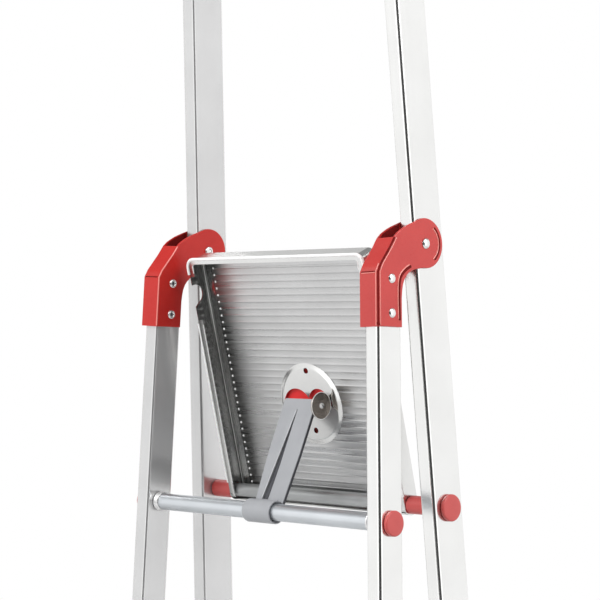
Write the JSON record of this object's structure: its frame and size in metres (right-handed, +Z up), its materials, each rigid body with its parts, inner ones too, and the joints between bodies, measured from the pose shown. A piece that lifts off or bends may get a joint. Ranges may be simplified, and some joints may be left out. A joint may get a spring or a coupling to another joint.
{
  "type": "step ladder",
  "caption": "Folding platform step ladder with aluminium rails, red hinge brackets, a ribbed platform tray and a support lever that locks it open.",
  "frame": {"origin": "on the floor under the middle of the nearly folded ladder", "axes": "+Z up, +X along the cross rods toward the ladder's own right seen from behind, +Y toward the side the user climbs"},
  "size_m": [0.4862, 0.2596, 1.8341],
  "materials": {
    "rail_aluminium": "brushed extruded aluminium",
    "tread_aluminium": "brushed extruded aluminium with grip grooves",
    "rod_aluminium": "drawn tube, satin",
    "sheet_aluminium": "pressed sheet, semi bright",
    "rivet_steel": "rolled rivet heads",
    "disc_steel": "turned pin head",
    "lever_grey": "grey satin coat",
    "bracket_red": "red satin powder coat",
    "plastic_red": "moulded, satin",
    "foot_black": "moulded rubber"
  },
  "bodies": {
    "front_frame": {"stile_left": "rail_aluminium", "stile_right": "rail_aluminium", "tread_1": "tread_aluminium", "tread_2": "tread_aluminium", "tread_3": "tread_aluminium", "tread_4": "tread_aluminium", "platform_rod": "rod_aluminium", "guard_rail": "rod_aluminium", "platform_rod_cap_left": "plastic_red", "platform_rod_cap_right": "plastic_red", "guard_rail_cap_left": "plastic_red", "guard_rail_cap_right": "plastic_red", "platform_bushing_left": "plastic_red", "platform_bushing_right": "plastic_red", "front_foot_left": "foot_black", "front_foot_right": "foot_black", "stile_cap_left": "plastic_red", "stile_cap_right": "plastic_red", "hinge_pin_left": "rivet_steel", "hinge_pin_right": "rivet_steel"},
    "rear_frame": {"leg_left": "rail_aluminium", "leg_right": "rail_aluminium", "hinge_bracket_left": "bracket_red", "hinge_bracket_right": "bracket_red", "rest_rod": "rod_aluminium", "bracket_rivet_upper_left": "rivet_steel", "bracket_rivet_upper_right": "rivet_steel", "bracket_rivet_lower_left": "rivet_steel", "bracket_rivet_lower_right": "rivet_steel", "rest_rod_cap_left": "plastic_red", "rest_rod_cap_right": "plastic_red", "rest_rod_ferrule_left": "rod_aluminium", "rest_rod_ferrule_right": "rod_aluminium", "rear_foot_left": "foot_black", "rear_foot_right": "foot_black", "rear_brace_1": "rail_aluminium", "rear_brace_2": "rail_aluminium", "rear_brace_3": "rail_aluminium"},
    "platform": {"platform_tray": "sheet_aluminium", "pivot_dish": "sheet_aluminium", "release_cover": "plastic_red", "pin_disc": "disc_steel"},
    "lever": {"support_lever": "lever_grey"}
  },
  "joints": [
    {"name": "rear_frame_fold", "type": "hinge", "parent": "front_frame", "child": "rear_frame", "pos_m": [0, -0.0019, 1.44], "axis": [-1, 0, 0], "range_deg": [-2, 30.75]},
    {"name": "platform_fold", "type": "hinge", "parent": "front_frame", "child": "platform", "pos_m": [0, 0.02543, 1.15917], "axis": [1, 0, 0], "range_deg": [-3.9, 58.95]},
    {"name": "lever_swing", "type": "hinge", "parent": "rear_frame", "child": "lever", "pos_m": [0, -0.06509, 1.14894], "axis": [1, 0, 0], "range_deg": [-50.2, 3.3]}
  ],
  "couplings": [
    {"joint": "platform_fold", "follows": "rear_frame_fold", "ratio": 1.9149},
    {"joint": "lever_swing", "follows": "rear_frame_fold", "ratio": -1.63}
  ]
}
